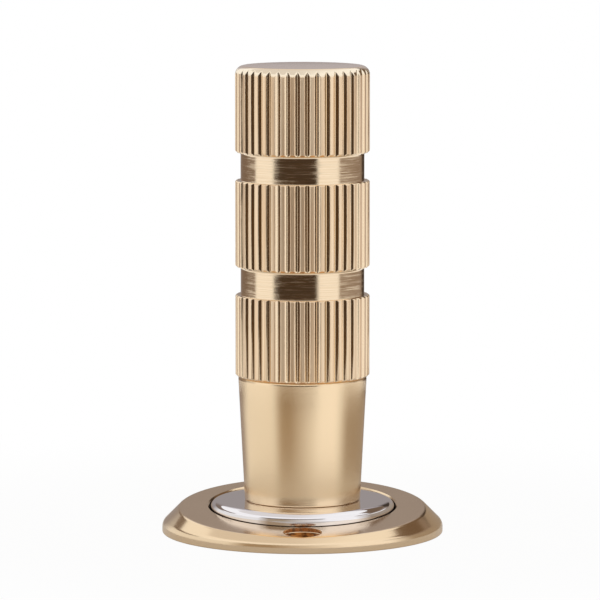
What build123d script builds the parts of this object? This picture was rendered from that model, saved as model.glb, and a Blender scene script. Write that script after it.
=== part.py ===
from build123d import *
import os
from math import cos, radians, sin, tan

# Concealed magnetic door stop, in millimetres. A knurled barrel sits in the bottom edge of a door.
# Its magnetic nose slides on a stem and drops to the steel disc of a slanted floor plate.
# The origin is on the floor, at the middle of the plate, with +Z up and the low side of the plate at -Y.

# Floor plate: a round plate with a bevelled rim, faced off at a slant so that its back is a shoulder
plate_diameter = 42.0
plate_wall_height = 1.4
plate_bevel_angle = 45.0
plate_middle_height = 4.0
plate_slant = 4.7
plate_face_round = 0.8
plate_rim_round = 1.4
plate_foot_round = 0.2
plate_land = 7.0
recess_floor_thickness = 1.8
recess_edge_chamfer = 0.2

# Floor screws: one hole on the low side and one on the high side, with their heads at one height
floor_screw_wall = 0.3
floor_screw_bore = 3.5
floor_screw_head = 5.7
floor_screw_sink = 0.15
countersink_angle = 90.0

# Steel disc in the recess and the screw that holds it from below
disc_gap = 0.2
disc_thickness = 3.0
disc_edge_round = 1.2
disc_screw_diameter = 3.0
disc_screw_head = 5.2
disc_screw_reach = 1.9
disc_screw_clearance = 0.1
disc_screw_sink = 0.1
disc_screw_key = 2.0
disc_screw_key_depth = 0.7
thread_clearance = 0.05
thread_runout = 0.3

# Nose: a taper that stands on the disc, with the magnet and its cup in a pocket
nose_length = 18.75
nose_step = 0.4
nose_taper = 0.975
nose_shoulder_round = 0.5
nose_tip_round = 0.3
cup_diameter = 13.0
cup_length = 5.8
cup_wall = 1.5
cup_clearance = 0.05
magnet_clearance = 0.05
magnet_recess = 0.2

# Barrel: three knurled bands with plain grooves between them, bored from below
barrel_diameter = 20.0
groove_depth = 0.8
band_count = 3
band_length = 12.85
lowest_band_length = 12.1
groove_length = 4.225
band_lower_chamfer = 0.25
band_upper_chamfer = 0.15
barrel_top_round = 1.3
bore_diameter = 14.0
bore_depth = 40.0
flute_count = 42
flute_depth = 0.5
flute_angle = 100.0
flute_overrun = 0.1

# Stem with its bush, return spring, stop washer and stop screw
stem_diameter = 6.0
stem_spigot_diameter = 5.0
stem_spigot_length = 8.0
stem_edge_chamfer = 0.3
running_clearance = 0.05
bush_length = 8.0
bush_press_clearance = 0.02
bush_set_back = 0.3
bush_edge_chamfer = 0.4
spring_length = 25.0
spring_mean_diameter = 9.4
spring_wire = 0.9
spring_turns = 8
washer_diameter = 12.0
washer_thickness = 1.5
washer_edge_chamfer = 0.25
stop_screw_diameter = 3.0
stop_screw_reach = 6.0
stop_screw_head = 5.5
stop_screw_head_height = 2.0
stop_screw_key = 2.0
stop_screw_key_depth = 1.1

# Heights and radii that follow from the sizes above
plate_radius = plate_diameter / 2
slant_rise = tan(radians(plate_slant))
countersink_slope = tan(radians(countersink_angle / 2))
recess_radius = plate_radius - plate_land
floor_screw_distance = recess_radius + floor_screw_wall + floor_screw_head / 2
disc_radius = recess_radius - disc_gap
nose_foot = recess_floor_thickness + disc_thickness
nose_shoulder = nose_foot + nose_length
barrel_foot = nose_shoulder
barrel_length = lowest_band_length + (band_count - 1) * (band_length + groove_length)
band_radius = barrel_diameter / 2
groove_radius = band_radius - groove_depth
nose_shoulder_radius = band_radius - nose_step
nose_tip_radius = nose_shoulder_radius - nose_taper
bore_radius = bore_diameter / 2
bush_foot = barrel_foot + bush_set_back
bush_top = bush_foot + bush_length
stem_top = bush_top + spring_length
washer_top = stem_top + washer_thickness


def half_section(outline):
    """Sketch the half section of a turned piece from its (radius, height) corners."""
    with BuildSketch(Plane.XZ) as section:
        with BuildLine():
            Polyline(*outline, close=True)
        make_face()
    return section.sketch


os.makedirs("parts", exist_ok=True)

# Floor plate
plate_blank_height = plate_middle_height + plate_radius * slant_rise
plate_blank_radius = plate_radius - (plate_blank_height - plate_wall_height) / tan(radians(plate_bevel_angle))
slanted_face = Plane(
    origin=(0, 0, plate_middle_height),
    x_dir=(1, 0, 0),
    z_dir=(0, -sin(radians(plate_slant)), cos(radians(plate_slant))),
)
low_edge_height = plate_middle_height - (floor_screw_distance + floor_screw_head / 2) * slant_rise
screw_rim = low_edge_height - floor_screw_sink
screw_cone_depth = (floor_screw_head - floor_screw_bore) / 2 / countersink_slope
disc_screw_rim = disc_screw_head / 2 + disc_screw_sink * countersink_slope + thread_clearance
disc_screw_hole = disc_screw_diameter / 2 + disc_screw_clearance

with BuildPart() as floor_plate:
    revolve(half_section([
        (0, 0),
        (plate_radius, 0),
        (plate_radius, plate_wall_height),
        (plate_blank_radius, plate_blank_height),
        (0, plate_blank_height),
    ]), axis=Axis.Z)
    split(bisect_by=slanted_face, keep=Keep.BOTTOM)
    foot_edge = floor_plate.edges().sort_by(Axis.Z)[0]
    rim_edge = floor_plate.edges().filter_by(GeomType.CIRCLE).sort_by(Axis.Z)[-1]
    face_edges = floor_plate.faces().sort_by(Axis.Z)[-1].edges()
    fillet(foot_edge, plate_foot_round)
    fillet(rim_edge, plate_rim_round)
    fillet(face_edges, plate_face_round)
    with Locations((0, 0, recess_floor_thickness)):
        Cylinder(
            recess_radius,
            plate_blank_height,
            align=(Align.CENTER, Align.CENTER, Align.MIN),
            mode=Mode.SUBTRACT,
        )
    recess_edge = floor_plate.faces().filter_by(slanted_face).sort_by(Axis.Z)[-1].inner_wires()[0].edges()
    chamfer(recess_edge, recess_edge_chamfer)
    with BuildSketch(Plane.XZ.offset(floor_screw_distance)) as screw_section:
        with BuildLine():
            Polyline(
                (0, 0),
                (floor_screw_bore / 2, 0),
                (floor_screw_bore / 2, screw_rim - screw_cone_depth),
                (floor_screw_head / 2, screw_rim),
                (floor_screw_head / 2, plate_blank_height),
                (0, plate_blank_height),
                close=True,
            )
        make_face()
    revolve(axis=Axis((0, -floor_screw_distance, 0), (0, 0, 1)), mode=Mode.SUBTRACT)
    with BuildSketch(Plane.XZ.offset(-floor_screw_distance)):
        add(screw_section.sketch_local)
    revolve(axis=Axis((0, floor_screw_distance, 0), (0, 0, 1)), mode=Mode.SUBTRACT)
    with BuildSketch(Plane.XZ):
        with BuildLine():
            Polyline(
                (0, 0),
                (disc_screw_rim, 0),
                (disc_screw_hole, (disc_screw_rim - disc_screw_hole) / countersink_slope),
                (disc_screw_hole, recess_floor_thickness),
                (0, recess_floor_thickness),
                close=True,
            )
        make_face()
    revolve(axis=Axis.Z, mode=Mode.SUBTRACT)
floor_plate.part.label = "floor_plate"
export_step(floor_plate.part, "parts/floor_plate.step")

# Strike disc, with a rounded edge and a blind threaded hole below
thread_hole = disc_screw_diameter / 2 + thread_clearance
with BuildPart() as strike_disc:
    revolve(half_section([
        (thread_hole, recess_floor_thickness),
        (disc_radius, recess_floor_thickness),
        (disc_radius, nose_foot),
        (0, nose_foot),
        (0, recess_floor_thickness + disc_screw_reach + thread_runout),
        (thread_hole, recess_floor_thickness + disc_screw_reach + thread_runout),
    ]), axis=Axis.Z)
    fillet(strike_disc.edges().group_by(Axis.Z)[-1], disc_edge_round)
strike_disc.part.label = "strike_disc"
export_step(strike_disc.part, "parts/strike_disc.step")

# Disc screw, with a countersunk head and a hexagon socket
disc_screw_shank = disc_screw_diameter / 2
disc_screw_head_height = (disc_screw_head / 2 - disc_screw_shank) / countersink_slope
with BuildPart() as disc_screw:
    revolve(half_section([
        (0, disc_screw_sink),
        (disc_screw_head / 2, disc_screw_sink),
        (disc_screw_shank, disc_screw_sink + disc_screw_head_height),
        (disc_screw_shank, recess_floor_thickness + disc_screw_reach),
        (0, recess_floor_thickness + disc_screw_reach),
    ]), axis=Axis.Z)
    with BuildSketch(Plane.XY.offset(disc_screw_sink)):
        RegularPolygon(disc_screw_key / 2, 6, major_radius=False)
    extrude(amount=disc_screw_key_depth, mode=Mode.SUBTRACT)
disc_screw.part.label = "disc_screw"
export_step(disc_screw.part, "parts/disc_screw.step")

# Nose, with the magnet's pocket below and the stem's threaded hole above
pocket_radius = cup_diameter / 2 + cup_clearance
pocket_top = nose_foot + magnet_recess + cup_length
spigot_hole = stem_spigot_diameter / 2 + thread_clearance
spigot_floor = nose_shoulder - stem_spigot_length - thread_runout
with BuildPart() as nose:
    revolve(half_section([
        (pocket_radius, nose_foot),
        (nose_tip_radius, nose_foot),
        (nose_shoulder_radius, nose_shoulder),
        (spigot_hole, nose_shoulder),
        (spigot_hole, spigot_floor),
        (0, spigot_floor),
        (0, pocket_top),
        (pocket_radius, pocket_top),
    ]), axis=Axis.Z)
    fillet(nose.edges().group_by(Axis.Z)[-1].sort_by(SortBy.LENGTH)[-1], nose_shoulder_round)
    fillet(nose.edges().group_by(Axis.Z)[0].sort_by(SortBy.LENGTH)[-1], nose_tip_round)
nose.part.label = "nose"
export_step(nose.part, "parts/nose.step")

# Pole cup, open downwards
cup_foot = nose_foot + magnet_recess
cup_inside = cup_diameter / 2 - cup_wall
with BuildPart() as pole_cup:
    revolve(half_section([
        (cup_inside, cup_foot),
        (cup_diameter / 2, cup_foot),
        (cup_diameter / 2, pocket_top),
        (0, pocket_top),
        (0, pocket_top - cup_wall),
        (cup_inside, pocket_top - cup_wall),
    ]), axis=Axis.Z)
pole_cup.part.label = "pole_cup"
export_step(pole_cup.part, "parts/pole_cup.step")

# Magnet, level with the rim of its cup
magnet_radius = cup_inside - magnet_clearance
with BuildPart() as magnet:
    revolve(half_section([
        (0, cup_foot),
        (magnet_radius, cup_foot),
        (magnet_radius, pocket_top - cup_wall),
        (0, pocket_top - cup_wall),
    ]), axis=Axis.Z)
magnet.part.label = "magnet"
export_step(magnet.part, "parts/magnet.step")

# Barrel: the turned blank, then its flutes, which run out on the rounded top edge
barrel_outline = [(bore_radius, barrel_foot)]
for band in range(band_count):
    band_top = barrel_foot + lowest_band_length + band * (band_length + groove_length)
    band_foot = band_top - (band_length if band else lowest_band_length)
    barrel_outline += [
        (band_radius - band_lower_chamfer, band_foot),
        (band_radius, band_foot + band_lower_chamfer),
    ]
    if band < band_count - 1:
        barrel_outline += [
            (band_radius, band_top - band_upper_chamfer),
            (band_radius - band_upper_chamfer, band_top),
            (groove_radius, band_top),
            (groove_radius, band_top + groove_length),
        ]
barrel_top = barrel_foot + barrel_length
barrel_outline += [
    (band_radius, barrel_top),
    (0, barrel_top),
    (0, barrel_foot + bore_depth),
    (bore_radius, barrel_foot + bore_depth),
]
flute_root = band_radius - flute_depth
flute_reach = band_radius + flute_overrun
flute_half_width = (flute_reach - flute_root) * tan(radians(flute_angle / 2))

with BuildPart() as barrel:
    revolve(half_section(barrel_outline), axis=Axis.Z)
    fillet(barrel.edges().group_by(Axis.Z)[-1], barrel_top_round)
    with BuildSketch(Plane.XY.offset(barrel_foot)):
        with PolarLocations(0, flute_count):
            Polygon(
                (flute_root, 0),
                (flute_reach, -flute_half_width),
                (flute_reach, flute_half_width),
                align=None,
            )
    extrude(amount=barrel_length, mode=Mode.SUBTRACT)
barrel.part.label = "barrel"
export_step(barrel.part, "parts/barrel.step")

# Guide bush, pressed into the mouth of the barrel
bush_radius = bore_radius - bush_press_clearance
bush_bore = stem_diameter / 2 + running_clearance
with BuildPart() as guide_bush:
    revolve(half_section([
        (bush_bore, bush_foot),
        (bush_radius, bush_foot),
        (bush_radius, bush_top - bush_edge_chamfer),
        (bush_radius - bush_edge_chamfer, bush_top),
        (bush_bore, bush_top),
    ]), axis=Axis.Z)
guide_bush.part.label = "guide_bush"
export_step(guide_bush.part, "parts/guide_bush.step")

# Stem, with a spigot for the nose and a threaded hole for the stop screw
stem_radius = stem_diameter / 2
stop_screw_hole = stop_screw_diameter / 2 + thread_clearance
stop_screw_floor = stem_top - stop_screw_reach - thread_runout
with BuildPart() as stem:
    revolve(half_section([
        (0, nose_shoulder - stem_spigot_length),
        (stem_spigot_diameter / 2 - stem_edge_chamfer, nose_shoulder - stem_spigot_length),
        (stem_spigot_diameter / 2, nose_shoulder - stem_spigot_length + stem_edge_chamfer),
        (stem_spigot_diameter / 2, nose_shoulder),
        (stem_radius, nose_shoulder),
        (stem_radius, stem_top),
        (stop_screw_hole, stem_top),
        (stop_screw_hole, stop_screw_floor),
        (0, stop_screw_floor),
    ]), axis=Axis.Z)
stem.part.label = "stem"
export_step(stem.part, "parts/stem.step")

# Return spring, with its ends ground flat
spring_radius = spring_mean_diameter / 2
with BuildPart() as return_spring:
    with BuildLine():
        coil = Helix(spring_length / spring_turns, spring_length, spring_radius, center=(0, 0, bush_top))
    with BuildSketch(Plane(origin=coil @ 0, z_dir=coil % 0)):
        Circle(spring_wire / 2)
    sweep(is_frenet=True)
    with Locations((0, 0, bush_top)):
        Cylinder(
            spring_radius + spring_wire,
            spring_length,
            align=(Align.CENTER, Align.CENTER, Align.MIN),
            mode=Mode.INTERSECT,
        )
return_spring.part.label = "return_spring"
export_step(return_spring.part, "parts/return_spring.step")

# Stop washer on the end of the stem
washer_radius = washer_diameter / 2
washer_hole = stop_screw_diameter / 2 + thread_clearance
with BuildPart() as stop_washer:
    revolve(half_section([
        (washer_hole, stem_top),
        (washer_radius, stem_top),
        (washer_radius, washer_top),
        (washer_hole, washer_top),
    ]), axis=Axis.Z)
    chamfer(stop_washer.edges().group_by(Axis.Z)[-1].sort_by(SortBy.LENGTH)[-1], washer_edge_chamfer)
stop_washer.part.label = "stop_washer"
export_step(stop_washer.part, "parts/stop_washer.step")

# Stop screw, with a plain head and a hexagon socket
stop_screw_shank = stop_screw_diameter / 2
stop_screw_top = washer_top + stop_screw_head_height
with BuildPart() as stop_screw:
    revolve(half_section([
        (0, stem_top - stop_screw_reach),
        (stop_screw_shank, stem_top - stop_screw_reach),
        (stop_screw_shank, washer_top),
        (stop_screw_head / 2, washer_top),
        (stop_screw_head / 2, stop_screw_top),
        (0, stop_screw_top),
    ]), axis=Axis.Z)
    with BuildSketch(Plane.XY.offset(stop_screw_top)):
        RegularPolygon(stop_screw_key / 2, 6, major_radius=False)
    extrude(amount=-stop_screw_key_depth, mode=Mode.SUBTRACT)
stop_screw.part.label = "stop_screw"
export_step(stop_screw.part, "parts/stop_screw.step")
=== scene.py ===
import logging
import math
from dataclasses import dataclass
from enum import Enum
from typing import Any, Mapping, Sequence, Union

import bpy
import numpy as np
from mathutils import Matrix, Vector


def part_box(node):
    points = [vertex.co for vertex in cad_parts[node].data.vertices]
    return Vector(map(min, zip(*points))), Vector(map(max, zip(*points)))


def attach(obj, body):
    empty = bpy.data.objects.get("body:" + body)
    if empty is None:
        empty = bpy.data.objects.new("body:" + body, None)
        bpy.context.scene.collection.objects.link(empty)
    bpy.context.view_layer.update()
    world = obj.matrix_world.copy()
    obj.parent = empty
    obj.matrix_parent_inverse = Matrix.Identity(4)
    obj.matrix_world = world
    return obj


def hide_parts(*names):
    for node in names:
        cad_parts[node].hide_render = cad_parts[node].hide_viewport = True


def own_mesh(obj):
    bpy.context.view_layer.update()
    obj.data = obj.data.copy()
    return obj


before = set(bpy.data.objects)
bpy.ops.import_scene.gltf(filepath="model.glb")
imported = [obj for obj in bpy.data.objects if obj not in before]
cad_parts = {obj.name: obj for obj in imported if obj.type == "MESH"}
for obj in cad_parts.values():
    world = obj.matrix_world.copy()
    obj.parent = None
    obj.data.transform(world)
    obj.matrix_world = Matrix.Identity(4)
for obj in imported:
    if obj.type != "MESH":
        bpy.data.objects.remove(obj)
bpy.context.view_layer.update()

LOG = logging.getLogger("door_stop")
MM = 0.001  # one millimetre, in metres
ARC_STEPS = 7  # steps along a rounded corner
SUPPORT = 0.03  # distance of the extra row beside a rounding, in millimetres
EDGE_BREAK = 0.1  # rounding of an edge that is only broken, in millimetres
POLE_SIZE = 1e-9  # a row smaller than this is a pole, in metres
SHARP_ANGLE = math.radians(32.0)  # edges that turn by more stay sharp
SMALL_COLUMNS = 96  # columns round a small turned piece
STAGE_COLUMNS = 64  # columns round the floor and the ceiling card
RING_HEIGHT = 0.00002  # height of tool rings at full bump, in metres
NOISE_MIDDLE = 0.5  # middle of a noise's range
FINE_DETAIL = 3.0  # layers of a finely detailed noise

Socket = bpy.types.NodeSocket
Colour = tuple[float, float, float]
Range = tuple[float, float]
Corner = tuple[Any, Any, float]
Number = Union["Wire", float, int]


class Body(str, Enum):
    """The two bodies of the door stop, by their names in the record."""

    FLOOR_UNIT = "floor_unit_and_nose"
    DOOR_BARREL = "door_barrel"


class Slot(str, Enum):
    """Names of the record's material slots."""

    TURNED_BRASS = "turned_brass"
    SATIN_BRASS = "satin_brass"
    PLATE_BRASS = "plate_brass"
    POLISHED_STEEL = "polished_steel"
    MACHINED_STEEL = "machined_steel"
    SPRING_STEEL = "spring_steel"
    BUSH_PLASTIC = "bush_plastic"


# Surfaces


def round_corner(corner: np.ndarray, back: np.ndarray, ahead: np.ndarray, radius: float) -> np.ndarray:
    """Rows that round one corner of a section, for every column at once.

    With unit vectors a and b from the corner to its neighbours and w the angle between them, the arc's
    centre lies radius / sin(w / 2) along a + b, and it touches the sides at radius / tan(w / 2). Its
    points turn evenly from one touching point to the other. One more row stands just outside each end,
    which keeps the shading of the flat side beside it flat.

    Args:
        corner: (columns, 2) radius and height of the corner, in millimetres.
        back: (columns, 2) the corner before it.
        ahead: (columns, 2) the corner after it.
        radius: radius of the rounding, or 0 for a sharp corner.

    Returns:
        (rows, columns, 2) points of the rounding.
    """
    if radius == 0:
        return corner[None]
    a = (back - corner) / np.linalg.norm(back - corner, axis=-1, keepdims=True)
    b = (ahead - corner) / np.linalg.norm(ahead - corner, axis=-1, keepdims=True)
    half = np.arccos(np.clip((a * b).sum(-1, keepdims=True), -1, 1)) / 2
    middle = (a + b) / np.linalg.norm(a + b, axis=-1, keepdims=True)
    centre = corner + middle * radius / np.sin(half)
    touch = radius / np.tan(half)
    first = corner + a * touch - centre
    last = corner + b * touch - centre
    sweep = math.pi - 2 * half
    share = np.linspace(0, 1, ARC_STEPS + 1)[:, None, None]
    arc = centre + (np.sin((1 - share) * sweep) * first + np.sin(share * sweep) * last) / np.sin(sweep)
    enter = corner + a * (touch + SUPPORT)
    leave = corner + b * (touch + SUPPORT)
    return np.concatenate([enter[None], arc, leave[None]])


def section_rows(corners: Sequence[Corner]) -> np.ndarray:
    """Rows of a section from its corners, each rounded by its own radius.

    Args:
        corners: (radius, height, rounding) for each corner in order, in millimetres. A radius or height
            may be an array with one value for each column.

    Returns:
        (rows, columns, 2) points along the section.
    """
    places = [np.stack(np.broadcast_arrays(*np.atleast_1d(r, h)), axis=-1) for r, h, _ in corners]
    places = np.stack(np.broadcast_arrays(*places)).astype(float)
    backs = np.roll(places, 1, axis=0)
    aheads = np.roll(places, -1, axis=0)
    return np.concatenate([
        round_corner(here, back, ahead, rounding)
        for here, back, ahead, (_, _, rounding) in zip(places, backs, aheads, corners)
    ])


def even_angles(count: int) -> np.ndarray:
    """Angles of evenly spaced columns round the axis, in radians."""
    return np.linspace(0, 2 * math.pi, count, endpoint=False)


def spin(rows: np.ndarray, angles: np.ndarray) -> np.ndarray:
    """Carry a section round the Z axis: x is r cos(angle), y is r sin(angle) and z is the height.

    Args:
        rows: (rows, columns or 1, 2) radius and height, in millimetres.
        angles: (columns,) angles in radians.

    Returns:
        (rows, columns, 3) points in metres.
    """
    radius, height = rows[..., 0], rows[..., 1]
    axes = np.broadcast_arrays(radius * np.cos(angles), radius * np.sin(angles), height)
    return np.stack(axes, axis=-1) * MM


def grid_mesh(name: str, points: np.ndarray, closed: bool = False) -> bpy.types.Mesh:
    """Turn a grid of points into a smooth mesh with sharp edges kept.

    Columns always close on themselves. A row whose points all coincide becomes one vertex, with a fan
    of triangles.

    Args:
        name: name of the mesh.
        points: (rows, columns, 3) points in metres.
        closed: whether the last row joins the first one.

    Returns:
        The new mesh.
    """
    rows, columns = points.shape[:2]
    index = np.arange(rows * columns).reshape(rows, columns)
    poles = np.ptp(points, axis=1).max(axis=1) < POLE_SIZE
    index[poles] = index[poles, :1]
    upper = np.roll(index, -1, axis=0)
    if not closed:
        index, upper = index[:-1], upper[:-1]
    quads = np.stack([index, np.roll(index, -1, 1), np.roll(upper, -1, 1), upper], axis=-1).reshape(-1, 4)
    low_pole = quads[:, 0] == quads[:, 1]
    high_pole = quads[:, 2] == quads[:, 3]
    fans = np.concatenate([quads[low_pole][:, [0, 2, 3]], quads[high_pole][:, [0, 1, 2]]])
    quads = quads[~(low_pole | high_pole)]
    used, where = np.unique(np.concatenate([quads.ravel(), fans.ravel()]), return_inverse=True)
    faces = where[:quads.size].reshape(-1, 4).tolist() + where[quads.size:].reshape(-1, 3).tolist()
    mesh = bpy.data.meshes.new(name)
    mesh.from_pydata(points.reshape(-1, 3)[used].tolist(), [], faces)
    return smooth(mesh)


def smooth(mesh: bpy.types.Mesh) -> bpy.types.Mesh:
    """Shade a mesh smoothly, with edges over the sharp angle kept sharp.

    Args:
        mesh: the mesh to shade.

    Returns:
        The same mesh.
    """
    mesh.shade_smooth()
    mesh.set_sharp_from_angle(angle=SHARP_ANGLE)
    mesh.update()
    return mesh


def place(mesh: bpy.types.Mesh) -> bpy.types.Object:
    """Put a mesh into the scene as an object at the origin.

    Args:
        mesh: the mesh, whose name the object takes.

    Returns:
        The new object.
    """
    piece = bpy.data.objects.new(mesh.name, mesh)
    bpy.context.scene.collection.objects.link(piece)
    return piece


def turned_piece(
    name: str, corners: Sequence[Corner], columns: int, closed: bool = False
) -> bpy.types.Object:
    """Make a turned piece: the rounded section of its corners, carried once round the Z axis.

    Args:
        name: name of the piece.
        corners: corners of its half section, as section_rows takes them.
        columns: number of columns round the axis.
        closed: whether the section is a loop clear of the axis.

    Returns:
        The new object.
    """
    points = spin(section_rows(corners), even_angles(columns))
    return place(grid_mesh(name, points, closed))


def mount(piece: bpy.types.Object, node: str, body: Body) -> None:
    """Let a new piece stand for a CAD node, which it hides, and ride on its body.

    Args:
        piece: the new piece.
        node: name of the CAD node that it replaces.
        body: body that it moves with.
    """
    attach(piece, body.value)
    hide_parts(node)


def wear(piece: bpy.types.Object, material: bpy.types.Material) -> None:
    """Give a piece its one material, and report it.

    Args:
        piece: the piece to dress.
        material: its only material from now on.
    """
    piece.data.materials.clear()
    piece.data.materials.append(material)
    LOG.info("%s: %d faces, %s", piece.name, len(piece.data.polygons), material.name)


# Shader maths


class Wire:
    """A value socket. Arithmetic on it adds Math nodes to its tree."""

    def __init__(self, bench: "Bench", socket: Socket) -> None:
        """Hold a socket and the bench that its tree belongs to."""
        self.bench = bench
        self.socket = socket

    def __add__(self, other: Number) -> "Wire":
        """Sum."""
        return self.bench.math("ADD", self, other)

    def __sub__(self, other: Number) -> "Wire":
        """Difference."""
        return self.bench.math("SUBTRACT", self, other)

    def __rsub__(self, other: Number) -> "Wire":
        """Difference from a number."""
        return self.bench.math("SUBTRACT", other, self)

    def __mul__(self, other: Number) -> "Wire":
        """Product."""
        return self.bench.math("MULTIPLY", self, other)

    def __truediv__(self, other: Number) -> "Wire":
        """Quotient."""
        return self.bench.math("DIVIDE", self, other)

    def __pow__(self, other: Number) -> "Wire":
        """Power."""
        return self.bench.math("POWER", self, other)

    def hypot(self, other: "Wire") -> "Wire":
        """Square root of the sum of both squares."""
        return (self * self + other * other) ** 0.5

    def step(self, start: float, end: float) -> "Wire":
        """Smooth step from 0 at start to 1 at end."""
        node = self.bench.node(
            "ShaderNodeMapRange",
            {"interpolation_type": "SMOOTHSTEP"},
            {"Value": self, "From Min": start, "From Max": end},
        )
        return Wire(self.bench, node.outputs["Result"])


class Bench:
    """Makes the nodes of one tree."""

    def __init__(self, tree: bpy.types.NodeTree) -> None:
        """Start on an emptied tree."""
        tree.nodes.clear()
        self.tree = tree

    def node(self, kind: str, settings: Mapping[str, Any], inputs: Mapping[Any, Any]) -> bpy.types.Node:
        """Make any node: its settings come first, then the values or links of its sockets.

        Args:
            kind: the node's type.
            settings: attributes of the node.
            inputs: socket names or numbers, with a Wire, a socket or a plain value for each.

        Returns:
            The new node.
        """
        made = self.tree.nodes.new(kind)
        for key, value in settings.items():
            setattr(made, key, value)
        for key, value in inputs.items():
            if isinstance(value, Wire):
                value = value.socket
            if isinstance(value, Socket):
                self.tree.links.new(value, made.inputs[key])
            else:
                made.inputs[key].default_value = value
        return made

    def math(self, operation: str, first: Number, second: Number = 0.0) -> Wire:
        """Result of one Math node."""
        node = self.node("ShaderNodeMath", {"operation": operation}, {0: first, 1: second})
        return Wire(self, node.outputs[0])

    def coordinates(self) -> tuple[Wire, Wire, Wire]:
        """Read the Object coordinates.

        Returns:
            x, y and z in millimetres.
        """
        where = self.node("ShaderNodeTexCoord", {}, {})
        scaled = self.node(
            "ShaderNodeVectorMath",
            {"operation": "SCALE"},
            {0: where.outputs["Object"], "Scale": 1 / MM},
        )
        parts = self.node("ShaderNodeSeparateXYZ", {}, {0: scaled.outputs[0]})
        x, y, z = (Wire(self, parts.outputs[axis]) for axis in "XYZ")
        return x, y, z

    def noise(self, position: Sequence[Number], detail: float = 2.0, roughness: float = 0.5) -> Wire:
        """Add a noise.

        Args:
            position: one value, or three, in cycles of the noise.
            detail: number of finer layers.
            roughness: strength of the finer layers.

        Returns:
            The noise, from 0 to 1.
        """
        sockets: dict[str, Any] = {"Scale": 1.0, "Detail": detail, "Roughness": roughness}
        settings = {"noise_dimensions": "1D" if len(position) == 1 else "3D"}
        if len(position) == 1:
            sockets["W"] = position[0]
        else:
            spot = self.node("ShaderNodeCombineXYZ", {}, dict(enumerate(position)))
            sockets["Vector"] = spot.outputs[0]
        node = self.node("ShaderNodeTexNoise", settings, sockets)
        return Wire(self, node.outputs[0])

    def blend(self, share: Number, low: Any, high: Any) -> Socket:
        """Mix of two colours or sockets, with the share of the second one."""
        mixer = self.node(
            "ShaderNodeMix",
            {"data_type": "RGBA"},
            {0: share, 6: self.opaque(low), 7: self.opaque(high)},
        )
        return mixer.outputs[2]

    @staticmethod
    def opaque(value: Any) -> Any:
        """Give a colour its alpha, and leave a socket as it is."""
        return value if isinstance(value, Socket) else (*value, 1.0)


def new_material(name: str) -> tuple[bpy.types.Material, Bench]:
    """Start a material.

    Args:
        name: name of the material.

    Returns:
        The new material, and the bench for its empty node tree.
    """
    material = bpy.data.materials.new(name)
    material.use_nodes = True
    return material, Bench(material.node_tree)


# Finishes


def turned_surface(
    bench: Bench, metallic: float, colour: Socket, roughness: Wire, rings: Wire, bump: float
) -> None:
    """Join a colour, a roughness and tool rings into a material's surface.

    Args:
        bench: maker of the nodes.
        metallic: 1 for metal, 0 for plastic.
        colour: colour of the surface.
        roughness: its roughness.
        rings: heights of its tool rings, from 0 to 1.
        bump: strength of the rings.
    """
    relief = bench.node("ShaderNodeBump", {}, {"Strength": bump, "Distance": RING_HEIGHT, "Height": rings})
    shader = bench.node(
        "ShaderNodeBsdfPrincipled",
        {},
        {"Base Color": colour, "Metallic": metallic, "Roughness": roughness, "Normal": relief.outputs[0]},
    )
    bench.node("ShaderNodeOutputMaterial", {}, {"Surface": shader.outputs[0]})


@dataclass(frozen=True)
class Spot:
    """A place on a surface: its Object coordinates and its distance from the Z axis, in millimetres."""

    bench: Bench
    x: Wire
    y: Wire
    z: Wire
    radius: Wire

    def noise(self, across: float, along: float, roughness: float = 0.5) -> Wire:
        """Noise with its own number of waves for a millimetre across the Z axis and along it."""
        return self.bench.noise([self.x * across, self.y * across, self.z * along], roughness=roughness)


@dataclass(frozen=True)
class TurnedMetal:
    """Bare metal with the fine rings that a lathe tool leaves.

    The rings are noise along radius plus height, so they run round a cylinder, a cone and a flat end
    alike. A slow noise adds handling marks in tint and gloss.
    """

    name: str
    colour: Colour
    shade: Colour
    roughness: float
    gloss_spread: float
    rings_per_mm: float
    ring_bump: float
    ring_grain: float = 0.65
    ring_marks: Range = (0.35, 0.7)
    ring_share: float = 0.6
    ring_gloss: float = 1.2
    mottle_mm: float = 6.0

    def material(self) -> bpy.types.Material:
        """Build the material's nodes.

        Returns:
            The new material.
        """
        material, bench = new_material(self.name)
        x, y, z = bench.coordinates()
        spot = Spot(bench, x, y, z, x.hypot(y))
        rings = bench.noise([(spot.radius + z) * self.rings_per_mm], FINE_DETAIL, self.ring_grain)
        mottle = bench.noise([axis / self.mottle_mm for axis in (x, y, z)], FINE_DETAIL)
        marks = rings.step(*self.ring_marks) * self.ring_share + mottle * (1 - self.ring_share)
        shift = (rings - NOISE_MIDDLE) * self.ring_gloss + (mottle - NOISE_MIDDLE)
        colour = self.tint(spot, bench.blend(marks, self.shade, self.colour))
        roughness = self.gloss(spot, shift * self.gloss_spread + self.roughness)
        turned_surface(bench, 1.0, colour, roughness, rings, self.ring_bump)
        return material

    def tint(self, spot: Spot, colour: Socket) -> Socket:
        """Colour at a spot, which a plain turned finish leaves as it is."""
        return colour

    def gloss(self, spot: Spot, roughness: Wire) -> Wire:
        """Roughness at a spot, which a plain turned finish leaves as it is."""
        return roughness


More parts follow.
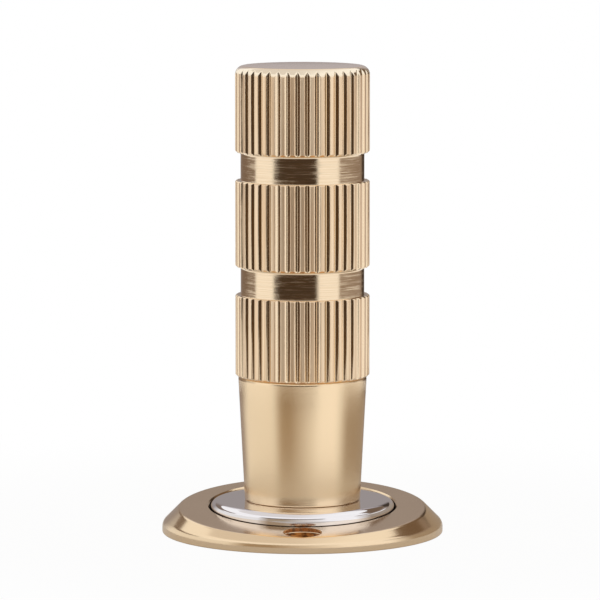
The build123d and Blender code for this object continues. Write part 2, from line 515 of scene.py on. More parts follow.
@dataclass(frozen=True)
class KnurledBrass(TurnedMetal):
    """Turned brass with flutes that the knurling wheel has burnished between satin lands.

    Lengths are in millimetres. A range named blend gives the two distances between which one part of
    the surface passes into the next.
    """

    crest_radius: float = 10.0
    crest_blend: Range = (-0.09, -0.04)
    groove_radius: float = 9.2
    groove_inner_blend: Range = (-0.2, -0.1)
    groove_outer_blend: Range = (0.02, 0.08)
    shoulder_height: float = 68.5
    shoulder_blend: Range = (0.0, 0.3)
    top_height: float = 69.8
    # painted highlight: the colour that lightens the rounded top edge, and where it lies
    painted_highlight_colour: Colour = (0.97, 0.85, 0.67)
    highlight_depth: float = 0.8
    highlight_blend: Range = (-0.25, -0.02)
    land_colour: Colour = (1.0, 0.79, 0.56)
    land_shade: Colour = (0.85, 0.6, 0.37)
    land_roughness: float = 0.4
    streaks_per_mm: Range = (4.0, 0.03)
    streak_range: Range = (0.3, 0.6)
    tool_marks_per_mm: Range = (0.2, 5.0)
    tool_mark_grain: float = 0.6
    tool_mark_range: Range = (0.48, 0.68)
    tool_mark_roughness: float = 0.14

    @staticmethod
    def past(value: Wire, level: float, blend: Range) -> Wire:
        """0 before a level and 1 past it, with the blend between them measured from the level."""
        return value.step(level + blend[0], level + blend[1])

    def lands(self, spot: Spot) -> Wire:
        """1 on the lands between the flutes, 0 in the flutes, in the grooves and on the rounded top edge."""
        crest = self.past(spot.radius, self.crest_radius, self.crest_blend)
        return crest * (1 - self.past(spot.z, self.shoulder_height, self.shoulder_blend))

    def tint(self, spot: Spot, colour: Socket) -> Socket:
        """Streak the lands along the barrel, and paint a highlight onto the rounded top edge.

        Args:
            spot: place on the surface.
            colour: colour of the turned metal.

        Returns:
            The colour with its lands and its painted highlight.
        """
        streaks = spot.noise(*self.streaks_per_mm)
        land = spot.bench.blend(streaks.step(*self.streak_range), self.land_shade, self.land_colour)
        banded = spot.bench.blend(self.lands(spot), colour, land)
        # painted highlight on the rounded top edge, rising from the shoulder and fading out just below the
        # top
        rising = spot.z.step(self.shoulder_height, self.top_height - self.highlight_depth)
        edge = rising * (1 - self.past(spot.z, self.top_height, self.highlight_blend))
        return spot.bench.blend(edge, banded, self.painted_highlight_colour)

    def gloss(self, spot: Spot, roughness: Wire) -> Wire:
        """Dull the lands, and streak the plain grooves with the marks of the tool.

        Args:
            spot: place on the surface.
            roughness: roughness of the turned metal.

        Returns:
            The roughness with its lands and tool marks.
        """
        land = self.lands(spot)
        groove = self.past(spot.radius, self.groove_radius, self.groove_inner_blend)
        groove = groove * (1 - self.past(spot.radius, self.groove_radius, self.groove_outer_blend))
        marks = spot.noise(*self.tool_marks_per_mm, roughness=self.tool_mark_grain)
        streaked = roughness + groove * marks.step(*self.tool_mark_range) * self.tool_mark_roughness
        return streaked * (1 - land) + land * self.land_roughness


@dataclass(frozen=True)
class DrilledBrass(TurnedMetal):
    """Turned brass whose screw holes are left dull as drilled, with painted shade inside them and the rim
    left in the brass's own colour. dark and tarnished, with a bright rim.

    Lengths are in millimetres.
    """

    hole_distance: float = 17.15
    hole_radius: float = 2.85
    rim_width: Range = (0.12, 0.02)
    # painted shade inside the screw holes, lighter and darker in patches
    hole_painted_shade: Colour = (0.36, 0.13, 0.03)
    hole_deep_painted_shade: Colour = (0.07, 0.025, 0.008)
    hole_roughness: float = 0.3
    patches_per_mm: Range = (0.9, 2.5)
    patch_range: Range = (0.38, 0.62)

    def holes(self, spot: Spot) -> Wire:
        """Find the two screw holes, which lie on the Y axis.

        Args:
            spot: place on the surface.

        Returns:
            1 inside the holes, and 0 from their rims outwards.
        """
        along = spot.bench.math("ABSOLUTE", spot.y) - self.hole_distance
        reach = spot.x.hypot(along)
        inner, outer = self.rim_width
        return 1 - reach.step(self.hole_radius - inner, self.hole_radius - outer)

    def tint(self, spot: Spot, colour: Socket) -> Socket:
        """Paint shade into the holes, in patches.

        Args:
            spot: place on the surface.
            colour: colour of the turned metal.

        Returns:
            The colour with painted shade in its holes.
        """
        # painted shade: the holes are darkened in patches, in place of the shade that falls in them
        patches = spot.noise(*self.patches_per_mm).step(*self.patch_range)
        painted_hole_shade = spot.bench.blend(patches, self.hole_deep_painted_shade, self.hole_painted_shade)
        return spot.bench.blend(self.holes(spot), colour, painted_hole_shade)

    def gloss(self, spot: Spot, roughness: Wire) -> Wire:
        """Roughness at a spot, with the holes dulled."""
        drilled = self.holes(spot)
        return roughness * (1 - drilled) + drilled * self.hole_roughness


@dataclass(frozen=True)
class InlaidSteel(TurnedMetal):
    """Turned steel that lies in a recess, with painted shade in the gap where it meets the slanted face.

    Lengths are in millimetres, and the slant is in degrees.
    """

    # painted shade in the gap between the disc and the recess: the radii it covers, its heights above the
    # face and its colour
    gap_shade_radii: Range = (13.4, 13.5)
    face_height: float = 4.0
    face_slant: float = 4.7
    gap_shade_heights: Range = (0.04, 0.12)
    gap_shade_colour: Colour = (0.05, 0.035, 0.03)

    def tint(self, spot: Spot, colour: Socket) -> Socket:
        """Paint shade onto the side of the disc below the edge of the recess, where the gap lies.

        Args:
            spot: place on the surface.
            colour: colour of the turned metal.

        Returns:
            The colour with its painted gap shade.
        """
        # painted shade: the disc's side is darkened below the recess's edge, where the gap lies
        rise = math.tan(math.radians(self.face_slant))
        above = spot.z - spot.y * rise - self.face_height
        gap_shade = (1 - above.step(*self.gap_shade_heights)) * spot.radius.step(*self.gap_shade_radii)
        return spot.bench.blend(gap_shade, colour, self.gap_shade_colour)


@dataclass(frozen=True)
class MachinedPlastic:
    """Pale machined plastic with faint tool rings."""

    name: str
    colour: Colour
    shade: Colour
    roughness: float = 0.45
    gloss_spread: float = 0.2
    rings_per_mm: float = 9.0
    ring_bump: float = 0.2

    def material(self) -> bpy.types.Material:
        """Build the material's nodes.

        Returns:
            The new material.
        """
        material, bench = new_material(self.name)
        x, y, z = bench.coordinates()
        rings = bench.noise([(x.hypot(y) + z) * self.rings_per_mm])
        colour = bench.blend(rings, self.shade, self.colour)
        roughness = (rings - NOISE_MIDDLE) * self.gloss_spread + self.roughness
        turned_surface(bench, 0.0, colour, roughness, rings, self.ring_bump)
        return material


BRIGHT_BRASS = KnurledBrass(
    "bright_turned_brass", (0.96, 0.79, 0.58), (0.86, 0.66, 0.44), 0.1, 0.08, 7.0, 0.08)
SATIN_BRASS = TurnedMetal(
    "satin_brass", (0.97, 0.76, 0.51), (0.92, 0.71, 0.46), 0.24, 0.06, 16.0, 0.18)
PLATE_BRASS = DrilledBrass(
    "plate_brass", (0.92, 0.73, 0.51), (0.87, 0.67, 0.44), 0.16, 0.06, 12.0, 0.1)
POLISHED_STEEL = InlaidSteel(
    "polished_steel", (0.91, 0.885, 0.905), (0.85, 0.825, 0.845), 0.06, 0.04, 10.0, 0.05)
MACHINED_STEEL = TurnedMetal(
    "machined_steel", (0.62, 0.62, 0.64), (0.5, 0.5, 0.52), 0.25, 0.1, 8.0, 0.25)
SPRING_STEEL = TurnedMetal(
    "spring_steel", (0.48, 0.48, 0.5), (0.36, 0.36, 0.38), 0.3, 0.1, 10.0, 0.15)
PLATED_MAGNET = TurnedMetal(
    "nickel_plated_magnet", (0.74, 0.73, 0.7), (0.68, 0.67, 0.64), 0.14, 0.05, 5.0, 0.05)
BUSH_PLASTIC = MachinedPlastic("machined_acetal", (0.86, 0.85, 0.81), (0.8, 0.79, 0.74))


# Sub-assemblies


@dataclass
class DoorBarrel:
    """The knurled barrel that is pressed into the door, with the bush in its mouth. Sizes in millimetres.

    The outline's last rows, the bore's roof, go first in the mesh, which so starts and ends on the axis.
    """

    radius: float = 10.0
    groove_depth: float = 0.8
    band_count: int = 3
    band_length: float = 12.85
    lowest_band: float = 12.1
    groove_length: float = 4.225
    groove_round: float = 0.35
    lower_chamfer: float = 0.25
    upper_chamfer: float = 0.15
    top_round: float = 1.3
    bore_radius: float = 7.0
    bore_depth: float = 40.0
    roof_rows: int = 2
    flute_count: int = 42
    flute_depth: float = 0.38
    flute_angle: float = 88.0
    root_round: float = 0.09
    edge_softness: float = 0.02
    flank_shares: tuple[float, ...] = (0.0, 0.08, 0.18, 0.32, 0.5, 0.7, 0.88, 0.96, 1.0)
    land_shares: tuple[float, ...] = (0.04, 0.12, 0.5, 1.0)
    chamfer_steps: int = 5
    top_steps: int = 24
    bush_radius: float = 6.98
    bush_bore: float = 3.05
    bush_chamfer: float = 0.4

    def __post_init__(self) -> None:
        """Take the heights from the CAD parts."""
        low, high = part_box("barrel")
        self.foot = low.z / MM
        self.top = high.z / MM
        low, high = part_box("guide_bush")
        self.bush_foot = low.z / MM
        self.bush_top = high.z / MM

    def flute_angles(self) -> np.ndarray:
        """Angles of the columns: close together at each flute's root and at its two edges.

        Returns:
            (columns,) angles in radians, rising.
        """
        half_pitch = math.pi / self.flute_count
        reach = self.flute_depth * math.tan(math.radians(self.flute_angle / 2)) + self.root_round
        edge = math.sqrt(reach ** 2 - self.root_round ** 2) / self.radius
        flank = edge * np.array(self.flank_shares)
        land = edge + (half_pitch - edge) * np.array(self.land_shares)
        half = np.concatenate([flank, land])
        pitch = np.concatenate([half, (2 * half_pitch - half[1:-1])[::-1]])
        starts = np.arange(self.flute_count) * 2 * half_pitch
        return (starts[:, None] + pitch).ravel()

    def flanks(self, angles: np.ndarray) -> np.ndarray:
        """Radius of the flutes' flanks on both sides of each angle.

        With a the angle from a flute's root and b the angle between its flank and the tangent at the
        root, the flank's radius is root cos(b) / cos(a + b). To round the root by c, a is first bent to
        the square root of a a + c c, less c.

        Args:
            angles: (columns,) angles in radians.

        Returns:
            (2, 1, columns) radii of the nearest flank and of the next one.
        """
        pitch = 2 * math.pi / self.flute_count
        lean = math.radians(90 - self.flute_angle / 2)
        near = np.abs((angles + pitch / 2) % pitch - pitch / 2)
        bend = self.root_round / self.radius
        away = np.hypot(np.stack([near, pitch - near])[:, None], bend) - bend
        return (self.radius - self.flute_depth) * math.cos(lean) / np.cos(away + lean)

    def outline(self) -> list[Corner]:
        """List the barrel's half section, from its foot over the top and down the bore.

        Returns:
            The corners, as section_rows takes them.
        """
        corners = [(self.bore_radius, self.foot, 0.0)]
        groove = self.radius - self.groove_depth
        for band in range(self.band_count):
            high = self.foot + self.lowest_band + band * (self.band_length + self.groove_length)
            low = high - (self.band_length if band else self.lowest_band)
            inner = self.radius - self.lower_chamfer
            corners += self.slope(inner, low, self.radius, low + self.lower_chamfer)
            if band < self.band_count - 1:
                inner = self.radius - self.upper_chamfer
                corners += self.slope(self.radius, high - self.upper_chamfer, inner, high)
                corners.append((groove, high, EDGE_BREAK))
                corners.append((groove, high + self.groove_length, self.groove_round))
        turns = np.linspace(0, math.pi / 2, self.top_steps)
        centre = self.radius - self.top_round
        corners += [
            (centre + self.top_round * math.cos(turn), self.top - self.top_round * (1 - math.sin(turn)), 0.0)
            for turn in turns
        ]
        roof = self.foot + self.bore_depth
        return corners + [(0.0, self.top, 0.0), (0.0, roof, 0.0), (self.bore_radius, roof, 0.0)]

    def slope(self, r0: float, z0: float, r1: float, z1: float) -> list[Corner]:
        """Evenly spaced corners along a chamfer, so that the flutes cut it cleanly."""
        shares = np.linspace(0, 1, self.chamfer_steps)
        return [(r0 + (r1 - r0) * t, z0 + (z1 - z0) * t, 0.0) for t in shares]

    def build(self) -> None:
        """Make the barrel and its bush.

        The barrel's radius is the least of the turned section and the flutes' flanks, with the edges
        between them softened: -k log(sum of exp(-radius / k)).
        """
        angles = self.flute_angles()
        rows = section_rows(self.outline())
        section = np.broadcast_to(rows[..., 0], (rows.shape[0], angles.size))
        k = self.edge_softness
        near, far = self.flanks(angles)
        softened = -k * np.logaddexp(-section / k, np.logaddexp(-near / k, -far / k))
        radius = np.where(section > self.radius - self.groove_depth + k, softened, section)
        height = np.broadcast_to(rows[..., 1], radius.shape)
        points = spin(np.stack([radius, height], axis=-1), angles)
        points = np.roll(points, self.roof_rows, axis=0)
        self.barrel = place(grid_mesh("knurled_barrel", points))
        mount(self.barrel, "barrel", Body.DOOR_BARREL)
        self.bush = turned_piece("stem_bush", [
            (self.bush_bore, self.bush_foot, 0.0),
            (self.bush_radius, self.bush_foot, EDGE_BREAK),
            (self.bush_radius, self.bush_top - self.bush_chamfer, 0.0),
            (self.bush_radius - self.bush_chamfer, self.bush_top, 0.0),
            (self.bush_bore, self.bush_top, EDGE_BREAK),
        ], SMALL_COLUMNS, closed=True)
        mount(self.bush, "guide_bush", Body.DOOR_BARREL)

    def dress(self) -> None:
        """Give the barrel and the bush their finishes."""
        wear(self.barrel, BRIGHT_BRASS.material())
        wear(self.bush, BUSH_PLASTIC.material())


@dataclass
class MagneticNose:
    """The tapered nose on its stem, with the return spring. Sizes in millimetres."""

    shoulder_radius: float = 9.6
    tip_radius: float = 8.625
    shoulder_round: float = 0.5
    tip_round: float = 0.3
    pocket_radius: float = 6.55
    pocket_depth: float = 6.0
    spigot_hole: float = 2.55
    spigot_hole_depth: float = 8.3
    stem_radius: float = 3.0
    spigot_radius: float = 2.5
    screw_hole: float = 1.55
    screw_hole_depth: float = 6.3
    stem_chamfer: float = 0.3
    stem_round: float = 0.15
    columns: int = 192
    spring_radius: float = 4.7
    spring_wire: float = 0.9
    spring_turns: int = 8
    spring_share: float = 0.52
    steps_per_turn: int = 40
    wire_columns: int = 14

    def __post_init__(self) -> None:
        """Take the heights from the CAD parts."""
        low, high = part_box("nose")
        self.foot = low.z / MM
        self.shoulder = high.z / MM
        low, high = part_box("stem")
        self.stem_foot = low.z / MM
        self.stem_top = high.z / MM
        low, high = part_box("return_spring")
        self.spring_foot = low.z / MM
        self.spring_top = high.z / MM

    def build(self) -> None:
        """Make the nose, the stem and the spring."""
        floor = self.shoulder - self.spigot_hole_depth
        roof = self.foot + self.pocket_depth
        self.nose = turned_piece("tapered_nose", [
            (0.0, roof, 0.0),
            (self.pocket_radius, roof, 0.0),
            (self.pocket_radius, self.foot, 0.0),
            (self.tip_radius, self.foot, self.tip_round),
            (self.shoulder_radius, self.shoulder, self.shoulder_round),
            (self.spigot_hole, self.shoulder, 0.0),
            (self.spigot_hole, floor, 0.0),
            (0.0, floor, 0.0),
        ], self.columns)
        mount(self.nose, "nose", Body.FLOOR_UNIT)
        bottom = self.stem_top - self.screw_hole_depth
        self.stem = turned_piece("sliding_stem", [
            (0.0, self.stem_foot, 0.0),
            (self.spigot_radius - self.stem_chamfer, self.stem_foot, 0.0),
            (self.spigot_radius, self.stem_foot + self.stem_chamfer, 0.0),
            (self.spigot_radius, self.shoulder, 0.0),
            (self.stem_radius, self.shoulder, 0.0),
            (self.stem_radius, self.stem_top, self.stem_round),
            (self.screw_hole, self.stem_top, 0.0),
            (self.screw_hole, bottom, 0.0),
            (0.0, bottom, 0.0),
        ], SMALL_COLUMNS)
        mount(self.stem, "stem", Body.FLOOR_UNIT)
        self.spring = self.coil()
        mount(self.spring, "return_spring", Body.FLOOR_UNIT)
        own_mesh(self.spring)

    def coil(self) -> bpy.types.Object:
        """Make the spring: a circle of wire carried along a helix, flattened at both ground ends.

        At turn t the wire's centre is at radius R and angle 2 pi t. Its circle lies across the path, and
        heights past either end are held at that end.

        Returns:
            The spring's object.
        """
        steps = self.spring_turns * self.steps_per_turn
        turn = np.linspace(0, 2 * math.pi * self.spring_turns, steps)[:, None]
        around = even_angles(self.wire_columns)[None]
        wire = self.spring_wire / 2
        reach = self.spring_radius + wire * np.cos(around)
        rise = (self.spring_top - self.spring_foot) * turn / turn[-1]
        height = self.spring_foot + rise + wire * np.sin(around)
        height = np.clip(height, self.spring_foot, self.spring_top)
        tube = np.stack(np.broadcast_arrays(reach * np.cos(turn), reach * np.sin(turn), height), axis=-1)
        ends = tube[[0, -1]].mean(axis=1, keepdims=True) + np.zeros_like(tube[:1])
        points = np.concatenate([ends[:1], tube, ends[1:]])[::-1] * MM
        return place(grid_mesh("coil_spring", points))

    def dress(self) -> None:
        """Give the nose, the stem, the spring and the small inner pieces their finishes."""
        steel = MACHINED_STEEL.material()
        wear(self.nose, SATIN_BRASS.material())
        wear(self.stem, steel)
        wear(self.spring, SPRING_STEEL.material())
        for node in ("stop_washer", "stop_screw", "pole_cup"):
            wear(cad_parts[node], steel)
        wear(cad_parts["magnet"], PLATED_MAGNET.material())


@dataclass
class FloorUnit:
    """The slanted floor plate with the steel disc in its recess. Sizes in millimetres."""

    radius: float = 21.0
    wall_height: float = 1.4
    middle_height: float = 4.0
    slant: float = 4.7
    face_round: float = 0.8
    rim_round: float = 1.4
    foot_round: float = 0.2
    recess_radius: float = 14.0
    recess_floor: float = 1.8
    recess_chamfer: float = 0.2
    screw_distance: float = 17.15
    screw_bore: float = 1.75
    screw_head: float = 2.85
    screw_sink: float = 0.15
    disc_screw_hole: float = 1.6
    disc_screw_rim: float = 2.75
    disc_radius: float = 13.8
    disc_round: float = 1.2
    thread_hole: float = 1.55
    thread_depth: float = 2.2
    cutter_margin: float = 1.0
    columns: int = 256

    def build(self) -> None:
        """Make the plate and the disc."""
        self.plate = self.drilled_plate()
        mount(self.plate, "floor_plate", Body.FLOOR_UNIT)
        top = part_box("strike_disc")[1].z / MM
        roof = self.recess_floor + self.thread_depth
        self.disc = turned_piece("bright_disc", [
            (0.0, roof, 0.0),
            (self.thread_hole, roof, 0.0),
            (self.thread_hole, self.recess_floor, 0.0),
            (self.disc_radius, self.recess_floor, EDGE_BREAK),
            (self.disc_radius, top, self.disc_round),
            (0.0, top, 0.0),
        ], self.columns)
        mount(self.disc, "strike_disc", Body.FLOOR_UNIT)

    def drilled_plate(self) -> bpy.types.Object:
        """Make the plate, and cut its screw holes.

        Returns:
            The plate's object.
        """
        plate = place(grid_mesh("slanted_plate", self.plate_points(), closed=True))
        cutters = [self.screw_cutter(side) for side in (-1, 1)]
        for cutter in cutters:
            cut = plate.modifiers.new(cutter.name, "BOOLEAN")
            cut.operation = "DIFFERENCE"
            cut.solver = "EXACT"
            cut.object = cutter
        finished = plate.evaluated_get(bpy.context.evaluated_depsgraph_get())
        mesh = smooth(bpy.data.meshes.new_from_object(finished))
        plate.modifiers.clear()
        plate.data = mesh
        for cutter in cutters:
            bpy.data.objects.remove(cutter)
        return plate

    def plate_points(self) -> np.ndarray:
        """Points of the plate before its screw holes are cut.

        The bevel drops one for one with the radius, and the face rises by the slant towards +Y. They
        meet at radius (wall + R - middle) / (1 + slant sin(angle)).

        Returns:
            (rows, columns, 3) points in metres.
        """
        angles = even_angles(self.columns)
        rise = math.tan(math.radians(self.slant)) * np.sin(angles)
        edge = (self.wall_height + self.radius - self.middle_height) / (1 + rise)
        mouth = self.recess_radius + self.recess_chamfer
        lip = self.middle_height + self.recess_radius * rise - self.recess_chamfer
        cone = self.disc_screw_rim - self.disc_screw_hole
        corners = [
            (self.disc_screw_hole, self.recess_floor, 0.0),
            (self.disc_screw_hole, cone, 0.0),
            (self.disc_screw_rim, 0.0, 0.0),
            (self.radius, 0.0, self.foot_round),
            (self.radius, self.wall_height, self.rim_round),
            (edge, self.wall_height + self.radius - edge, self.face_round),
            (mouth, self.middle_height + mouth * rise, 0.0),
            (self.recess_radius, lip, 0.0),
            (self.recess_radius, self.recess_floor, 0.0),
        ]
        return spin(section_rows(corners), angles)

    def screw_cutter(self, side: int) -> bpy.types.Object:
        """Make the countersunk form of one screw hole.

        Args:
            side: -1 on the plate's low side, 1 on its high side.

        Returns:
            The form's object, which the plate is cut with.
        """
        slope = math.tan(math.radians(self.slant))
        rim = self.middle_height - (self.screw_distance + self.screw_head) * slope - self.screw_sink
        cone = rim - (self.screw_head - self.screw_bore)
        top = self.middle_height + self.radius * slope + self.cutter_margin
        rows = section_rows([
            (0.0, -self.cutter_margin, 0.0),
            (self.screw_bore, -self.cutter_margin, 0.0),
            (self.screw_bore, cone, 0.0),
            (self.screw_head, rim, 0.0),
            (self.screw_head, top, 0.0),
            (0.0, top, 0.0),
        ])
        points = spin(rows, even_angles(SMALL_COLUMNS))
        points[..., 1] += side * self.screw_distance * MM
        return place(grid_mesh(f"screw_cutter_{side}", points))

    def dress(self) -> None:
        """Give the plate, the disc and the disc's screw their finishes."""
        wear(self.plate, PLATE_BRASS.material())
        wear(self.disc, POLISHED_STEEL.material())
        wear(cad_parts["disc_screw"], MACHINED_STEEL.material())


# Studio


class Card(Enum):
    """Colours of the cards that stand round the object."""

    WHITE = (1.0, 1.0, 1.0)
    PEARL = (0.76, 0.73, 0.71)
    PALE = (0.85, 0.84, 0.82)
    PALE_GREY = (0.48, 0.44, 0.45)
    GREY = (0.33, 0.295, 0.285)
    TAN = (0.38, 0.3, 0.215)
    FAWN = (0.36, 0.3, 0.24)
    SIENNA = (0.28, 0.22, 0.18)
    BROWN = (0.21, 0.16, 0.13)
    RUST = (0.17, 0.115, 0.075)
    UMBER = (0.09, 0.05, 0.02)
    BLACK = (0.055, 0.04, 0.03)


Cards = Sequence[tuple[float, Card]]
CardRows = Sequence[tuple[float, Cards]]


def glow(bench: Bench, colour: Socket) -> None:
    """Let a material shine in a colour, at a plain level."""
    light = bench.node("ShaderNodeEmission", {}, {"Color": colour, "Strength": 1.0})
    bench.node("ShaderNodeOutputMaterial", {}, {"Surface": light.outputs[0]})


def hang(name: str, points: np.ndarray, material: bpy.types.Material) -> None:
    """Hang a card that only reflections see.

    Args:
        name: name of the card.
        points: (rows, columns, 3) points in metres.
        material: its glowing material.
    """
    piece = place(grid_mesh(name, points))
    wear(piece, material)
    for ray in ("camera", "diffuse", "shadow"):
        setattr(piece, f"visible_{ray}", False)


@dataclass
class CardRing:
    """A ring of light and dark cards that only reflections see. Radius and heights in millimetres.

    Each row of cards is a list of (bearing in degrees, card), with 0 towards the camera, and starts at
    its own height above the floor. A little noise along the height makes the cards' edges uneven.
    """

    name: str
    radius: float
    height: float
    rows: CardRows
    unevenness: float = 0.0
    waves_per_mm: float = 1.6
    overlap: float = 3.0
    columns: int = 128

    def build(self) -> None:
        """Make the ring, facing inwards."""
        edges = np.array([[[self.radius, self.height]], [[self.radius, 0.0]]])
        material, bench = new_material(self.name)
        x, y, z = bench.coordinates()
        bearing = bench.math("ARCTAN2", x, y * -1.0) / (2 * math.pi) + 0.5
        waves = bench.noise([z * self.waves_per_mm], FINE_DETAIL)
        bearing = bearing + (waves - NOISE_MIDDLE) * self.unevenness
        colour = self.light(bench, bearing, self.rows[0][1])
        for start, cards in self.rows[1:]:
            share = z.step(start - self.overlap / 2, start + self.overlap / 2)
            colour = bench.blend(share, colour, self.light(bench, bearing, cards))
        glow(bench, colour)
        hang(self.name, spin(edges, even_angles(self.columns)), material)

    @staticmethod
    def light(bench: Bench, bearing: Wire, cards: Cards) -> Socket:
        """Spread the light of one row of cards round the ring.

        Args:
            bench: maker of the nodes.
            bearing: bearing as a share of the whole turn, from behind over the left.
            cards: the row's cards.

        Returns:
            The colour of the light.
        """
        ramp = bench.node("ShaderNodeValToRGB", {}, {"Fac": bearing})
        stops = ramp.color_ramp.elements
        while len(stops) < len(cards):
            stops.new(1.0)
        for stop, (degrees, card) in zip(stops, cards):
            stop.position = degrees / 360 + 0.5
            stop.color = bench.opaque(card.value)
        return ramp.outputs["Color"]


LOW_CARDS: Cards = (
    (-180, Card.GREY), (-134, Card.GREY), (-114, Card.PALE), (-50, Card.PALE), (-36, Card.TAN),
    (-20, Card.TAN), (28, Card.WHITE), (60, Card.WHITE), (82, Card.FAWN), (140, Card.FAWN),
    (155, Card.GREY), (180, Card.GREY),
)
MIDDLE_CARDS: Cards = (
    (-180, Card.GREY), (-165, Card.GREY), (-150, Card.BROWN), (-98, Card.BROWN),
    (-93, Card.WHITE), (-56, Card.WHITE), (-51, Card.BLACK), (25, Card.BLACK), (30, Card.WHITE),
    (68, Card.WHITE), (73, Card.SIENNA), (138, Card.SIENNA), (146, Card.BLACK), (160, Card.BLACK),
    (170, Card.GREY), (180, Card.GREY),
)
BAND_CARDS: Cards = (
    (-180, Card.GREY), (-165, Card.GREY), (-152, Card.BROWN), (-126, Card.BROWN),
    (-114, Card.WHITE), (-50, Card.WHITE), (-42, Card.UMBER), (24, Card.UMBER), (29, Card.WHITE),
    (125, Card.WHITE), (138, Card.SIENNA), (146, Card.BLACK), (160, Card.BLACK), (170, Card.GREY),
    (180, Card.GREY),
)
HIGH_CARDS: Cards = (
    (-180, Card.PALE_GREY), (-162, Card.PALE_GREY), (-152, Card.WHITE), (92, Card.WHITE),
    (100, Card.RUST), (152, Card.RUST), (164, Card.PALE_GREY), (180, Card.PALE_GREY),
)
FAR_ROWS: CardRows = (
    (0.0, BAND_CARDS), (17.0, MIDDLE_CARDS), (26.5, BAND_CARDS), (37.5, MIDDLE_CARDS), (48.0, BAND_CARDS),
    (58.0, MIDDLE_CARDS), (75.5, HIGH_CARDS),
)


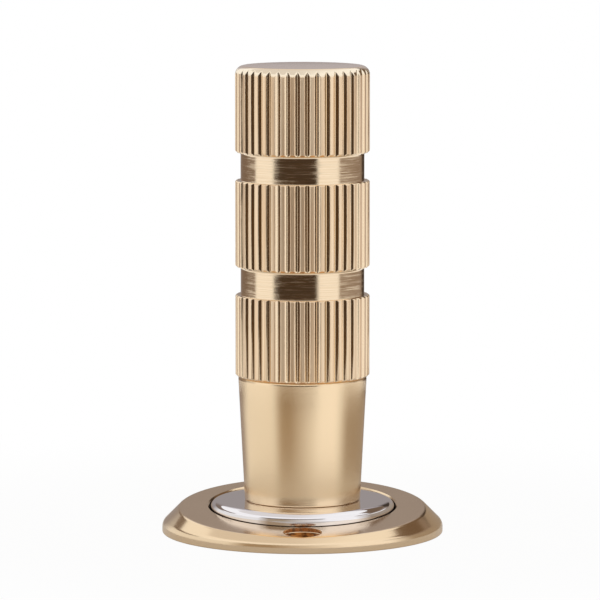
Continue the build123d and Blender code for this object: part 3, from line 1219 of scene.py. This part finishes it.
@dataclass
class Studio:
    """Pale floor, white surroundings, cards that reflections see, a soft lamp and the camera.

    Sizes are in metres, and distances inside materials in millimetres. The floor's two shares of plain
    white are near the object and away from it.
    """

    soft_light: Colour = (0.45, 0.45, 0.45)
    floor_radius: float = 3.0
    floor_gap: float = 0.00002
    floor_colour: Colour = (0.7, 0.66, 0.62)
    floor_white: Range = (0.96, 1.0)
    floor_shine: Range = (0.1, 1.0)
    shadow_reach: Range = (40.0, 110.0)
    camera_distance: float = 0.656
    camera_elevation: float = 6.5
    aim_height: float = 0.0348
    aim_offset: float = -0.00037
    lens: float = 264.0
    sensor: float = 36.0
    ceiling_height: float = 0.3
    ceiling_radius: float = 0.3
    ceiling_change: Range = (-60.0, 160.0)
    overhead_height: float = 0.7
    overhead_size: float = 0.6
    overhead_power: float = 1.5

    def build(self) -> None:
        """Make the whole studio."""
        self.surroundings()
        self.floor()
        self.cards()
        self.ceiling()
        self.overhead()
        self.camera()
        bpy.context.scene.view_settings.view_transform = "Standard"

    @staticmethod
    def seen(bench: Bench) -> tuple[Wire, Wire]:
        """Tell which rays show the background itself.

        Args:
            bench: maker of the nodes.

        Returns:
            1 for rays from the camera, and 1 for rays that come by gloss or through glass.
        """
        path = bench.node("ShaderNodeLightPath", {}, {})
        camera, gloss, glass = (
            Wire(bench, path.outputs[f"Is {kind} Ray"]) for kind in ("Camera", "Glossy", "Transmission")
        )
        return camera, bench.math("MAXIMUM", gloss, glass)

    @staticmethod
    def disc(radius: float, height: float) -> np.ndarray:
        """Points of a flat disc that faces up, as grid_mesh takes them."""
        rows = np.array([[[radius, height]], [[0.0, height]]]) / MM
        return spin(rows, even_angles(STAGE_COLUMNS))

    def surroundings(self) -> None:
        """Light the scene softly from all round, with white behind it."""
        world = bpy.data.worlds.new("surroundings")
        world.use_nodes = True
        bpy.context.scene.world = world
        bench = Bench(world.node_tree)
        soft = bench.node("ShaderNodeBackground", {}, {"Color": bench.opaque(self.soft_light)})
        white = bench.node("ShaderNodeBackground", {}, {"Color": bench.opaque(Card.WHITE.value)})
        share = bench.math("MAXIMUM", *self.seen(bench))
        mixed = bench.node("ShaderNodeMixShader", {}, {0: share, 1: soft.outputs[0], 2: white.outputs[0]})
        bench.node("ShaderNodeOutputWorld", {}, {"Surface": mixed.outputs[0]})

    def floor(self) -> None:
        """Make the pale floor, which keeps a soft shadow."""
        points = self.disc(self.floor_radius, -self.floor_gap)
        piece = place(grid_mesh("studio_floor", points))
        material, bench = new_material("pale_floor")
        matt = bench.node("ShaderNodeBsdfDiffuse", {}, {"Color": bench.opaque(self.floor_colour)})
        pure = bench.opaque(Card.WHITE.value)
        white = bench.node("ShaderNodeEmission", {}, {"Color": pure, "Strength": 1.0})
        x, y, _ = bench.coordinates()
        away = x.hypot(y).step(*self.shadow_reach)
        camera, gloss = self.seen(bench)
        pale, shine = (
            away * (far - near) + near for near, far in (self.floor_white, self.floor_shine)
        )
        share = bench.math("MAXIMUM", camera * pale, gloss * shine)
        mixed = bench.node("ShaderNodeMixShader", {}, {0: share, 1: matt.outputs[0], 2: white.outputs[0]})
        bench.node("ShaderNodeOutputMaterial", {}, {"Surface": mixed.outputs[0]})
        wear(piece, material)

    def cards(self) -> None:
        """Stand a low ring of cards close by and a tall one further off."""
        CardRing("near_cards", radius=45.0, height=15.0, rows=((0.0, LOW_CARDS),)).build()
        CardRing("far_cards", radius=150.0, height=150.0, rows=FAR_ROWS, unevenness=0.04).build()

    def ceiling(self) -> None:
        """Hang a pale card over the object that only reflections see, a little darker on its left."""
        material, bench = new_material("ceiling_card")
        x, _, _ = bench.coordinates()
        glow(bench, bench.blend(x.step(*self.ceiling_change), Card.PEARL.value, Card.WHITE.value))
        hang("ceiling_card", self.disc(self.ceiling_radius, self.ceiling_height)[::-1], material)

    def overhead(self) -> None:
        """Hang a large soft lamp over the object."""
        lamp = bpy.data.lights.new("overhead_softbox", "AREA")
        lamp.size = self.overhead_size
        lamp.energy = self.overhead_power
        holder = bpy.data.objects.new("overhead_softbox", lamp)
        holder.location = (0, 0, self.overhead_height)
        holder.visible_glossy = False
        bpy.context.scene.collection.objects.link(holder)

    def camera(self) -> None:
        """Set up the camera at the photograph's viewing angle."""
        eye = bpy.data.cameras.new("camera")
        eye.lens = self.lens
        eye.sensor_width = self.sensor
        holder = bpy.data.objects.new("camera", eye)
        tilt = math.radians(self.camera_elevation)
        aim = Vector((self.aim_offset, 0.0, self.aim_height))
        holder.location = aim + self.camera_distance * Vector((0.0, -math.cos(tilt), math.sin(tilt)))
        holder.rotation_euler = (math.pi / 2 - tilt, 0.0, 0.0)
        bpy.context.scene.collection.objects.link(holder)
        bpy.context.scene.camera = holder


def main() -> None:
    """Build and dress each sub-assembly, then set up the studio."""
    logging.basicConfig(level=logging.INFO, format="%(name)s: %(message)s")
    for unit in (FloorUnit(), MagneticNose(), DoorBarrel()):
        unit.build()
        unit.dress()
    Studio().build()


if __name__ == "__main__":
    main()
